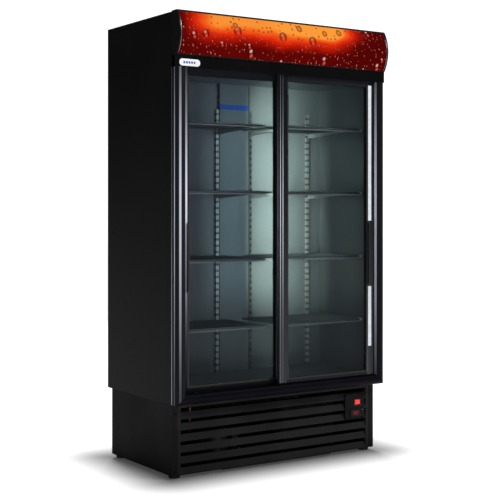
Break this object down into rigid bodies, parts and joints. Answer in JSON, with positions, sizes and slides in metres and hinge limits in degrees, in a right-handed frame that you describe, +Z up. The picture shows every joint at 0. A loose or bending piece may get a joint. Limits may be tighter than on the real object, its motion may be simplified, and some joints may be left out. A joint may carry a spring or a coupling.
{
  "type": "glass door merchandiser",
  "caption": "Upright refrigerated display cabinet with sliding glass doors, lit bowed canopy, wire shelves and a louvred machine base.",
  "frame": {"origin": "centre of the bounding box's bottom face, on the floor under the feet", "axes": "+Z up, +X to the right seen from the front, doors face -Y"},
  "size_m": [1.15, 0.672, 2.01],
  "materials": {
    "shell_black": "satin",
    "liner_grey": "satin",
    "foam": "matte",
    "label_blue": "gloss",
    "shelf_steel": "satin",
    "coil_aluminium": "satin",
    "fan_black": "matte",
    "post_aluminium": "satin",
    "lamp_glow": "gloss",
    "frame_black": "gloss",
    "track_aluminium": "satin",
    "door_aluminium": "gloss",
    "clear_glass": "gloss",
    "handle_black": "gloss",
    "roller_nylon": "matte",
    "trim_black": "gloss",
    "canopy_lit": "gloss",
    "canopy_white": "satin",
    "tube_glow": "gloss",
    "badge_silver": "gloss",
    "galvanised": "satin",
    "control_grey": "satin",
    "rocker_red": "gloss",
    "display_black": "gloss",
    "compressor_black": "satin",
    "rotor_aluminium": "satin",
    "copper": "satin",
    "foot_black": "matte"
  },
  "bodies": {
    "cabinet": {"side_panel_left": "shell_black", "side_panel_right": "shell_black", "roof_panel": "shell_black", "rear_panel": "shell_black", "underside_panel": "shell_black", "foam_insulation": "foam", "liner_walls": "liner_grey", "liner_floor": "liner_grey", "liner_ceiling": "liner_grey", "rear_duct": "liner_grey", "centre_duct": "liner_grey", "duct_label": "label_blue", "shelf_standards": "shelf_steel", "shelves_1": "shelf_steel", "shelves_2": "shelf_steel", "shelves_3": "shelf_steel", "shelves_4": "shelf_steel", "evaporator_coil": "coil_aluminium", "evaporator_fans": "fan_black", "lamp_post": "post_aluminium", "lamp_lens": "lamp_glow", "frame_jamb_left": "frame_black", "frame_jamb_right": "frame_black", "frame_head": "frame_black", "frame_sill": "frame_black", "door_tracks": "track_aluminium", "canopy_end_caps": "trim_black", "canopy_panel": "canopy_lit", "canopy_trim": "trim_black", "canopy_back": "canopy_white", "canopy_lamps": "tube_glow", "fascia": "trim_black", "badge": "badge_silver", "base_sides": "shell_black", "base_pan": "galvanised", "base_rear_grille": "shell_black", "front_grille": "shell_black", "control_panel": "control_grey", "thermostat": "display_black", "compressor": "compressor_black", "condenser_coil": "coil_aluminium", "condenser_shroud": "fan_black", "refrigerant_pipes": "copper", "feet": "foot_black"},
    "left_door": {"left_door_outer_stile": "door_aluminium", "left_door_inner_stile": "door_aluminium", "left_door_rails": "door_aluminium", "left_door_glass": "clear_glass", "left_door_handle": "handle_black"},
    "left_door_roller_outer": {"left_door_roller_outer": "roller_nylon"},
    "left_door_roller_inner": {"left_door_roller_inner": "roller_nylon"},
    "right_door": {"right_door_outer_stile": "door_aluminium", "right_door_inner_stile": "door_aluminium", "right_door_rails": "door_aluminium", "right_door_glass": "clear_glass", "right_door_handle": "handle_black"},
    "right_door_roller_outer": {"right_door_roller_outer": "roller_nylon"},
    "right_door_roller_inner": {"right_door_roller_inner": "roller_nylon"},
    "power_rocker": {"power_rocker": "rocker_red"},
    "condenser_rotor": {"condenser_rotor": "rotor_aluminium"}
  },
  "joints": [
    {"name": "left_door_slide", "type": "slide", "parent": "cabinet", "child": "left_door", "axis": [1, 0, 0], "range_m": [0, 0.45]},
    {"name": "right_door_slide", "type": "slide", "parent": "cabinet", "child": "right_door", "axis": [1, 0, 0], "range_m": [-0.45, 0]},
    {"name": "left_roller_outer_spin", "type": "hinge", "parent": "left_door", "child": "left_door_roller_outer", "pos_m": [-0.461, -0.237, 0.3593], "axis": [0, 1, 0], "continuous": true},
    {"name": "left_roller_inner_spin", "type": "hinge", "parent": "left_door", "child": "left_door_roller_inner", "pos_m": [-0.041, -0.237, 0.3593], "axis": [0, 1, 0], "continuous": true},
    {"name": "right_roller_outer_spin", "type": "hinge", "parent": "right_door", "child": "right_door_roller_outer", "pos_m": [0.461, -0.277, 0.3593], "axis": [0, 1, 0], "continuous": true},
    {"name": "right_roller_inner_spin", "type": "hinge", "parent": "right_door", "child": "right_door_roller_inner", "pos_m": [0.041, -0.277, 0.3593], "axis": [0, 1, 0], "continuous": true},
    {"name": "rocker_tilt", "type": "hinge", "parent": "cabinet", "child": "power_rocker", "pos_m": [0.459, -0.232, 0.24], "axis": [1, 0, 0], "range_deg": [-8, 8]},
    {"name": "fan_spin", "type": "hinge", "parent": "cabinet", "child": "condenser_rotor", "pos_m": [0.21, -0.1277, 0.132], "axis": [0, 1, 0], "continuous": true}
  ],
  "couplings": [
    {"joint": "left_roller_outer_spin", "follows": "left_door_slide", "rad_per_m": 111.11},
    {"joint": "left_roller_inner_spin", "follows": "left_door_slide", "rad_per_m": 111.11},
    {"joint": "right_roller_outer_spin", "follows": "right_door_slide", "rad_per_m": 111.11},
    {"joint": "right_roller_inner_spin", "follows": "right_door_slide", "rad_per_m": 111.11}
  ]
}
